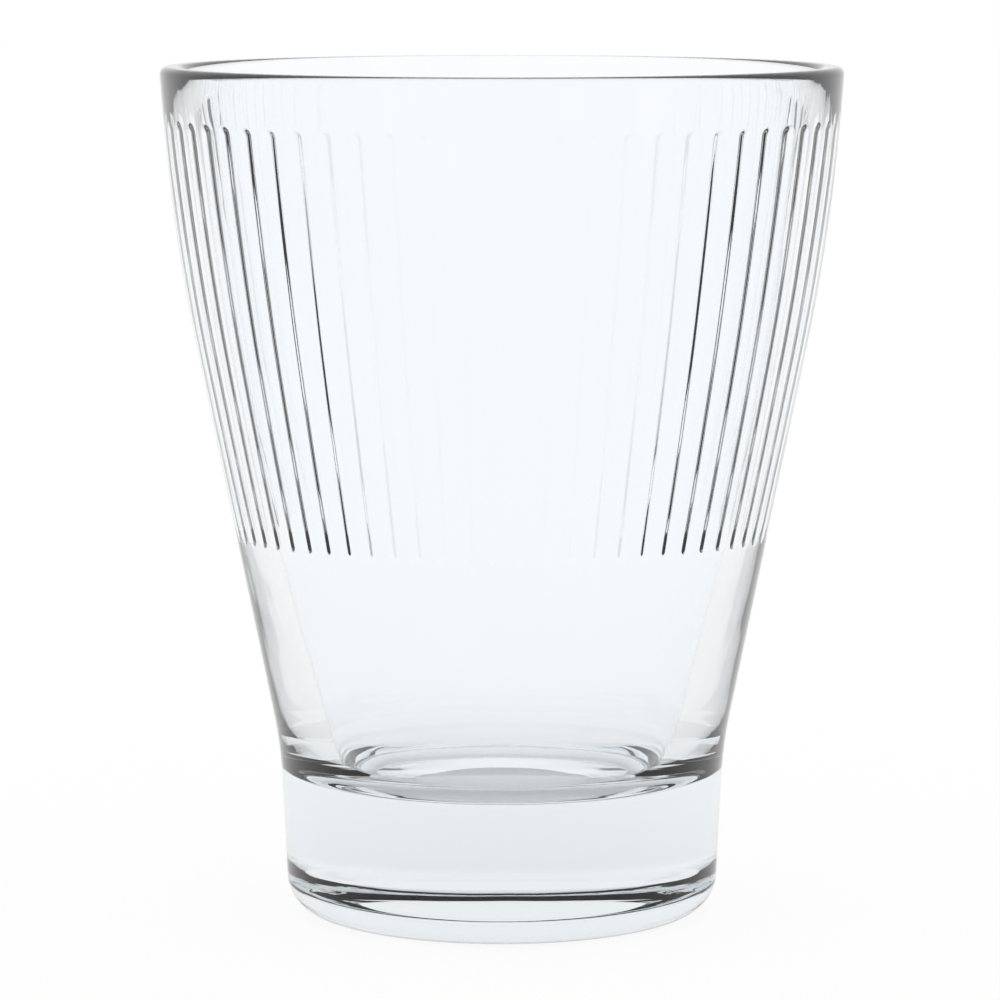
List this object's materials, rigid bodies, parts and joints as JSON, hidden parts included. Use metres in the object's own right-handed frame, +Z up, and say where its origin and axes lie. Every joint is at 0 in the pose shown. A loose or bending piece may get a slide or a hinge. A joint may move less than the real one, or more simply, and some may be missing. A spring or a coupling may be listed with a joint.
{
  "type": "cortado glass",
  "caption": "Small flared tumbler of clear pressed glass for a cortado, with a rounded lip, low upright ribs round the inside of the upper wall and a thick solid base.",
  "frame": {"origin": "middle of the foot, in the plane of the table", "axes": "+Z up along the axis of the glass, towards the lip"},
  "size_m": [0.0702, 0.0702, 0.088],
  "materials": {
    "clear_glass": "clear pressed soda-lime glass, fire-polished"
  },
  "bodies": {
    "root": {"tumbler": "clear_glass"}
  },
  "joints": []
}
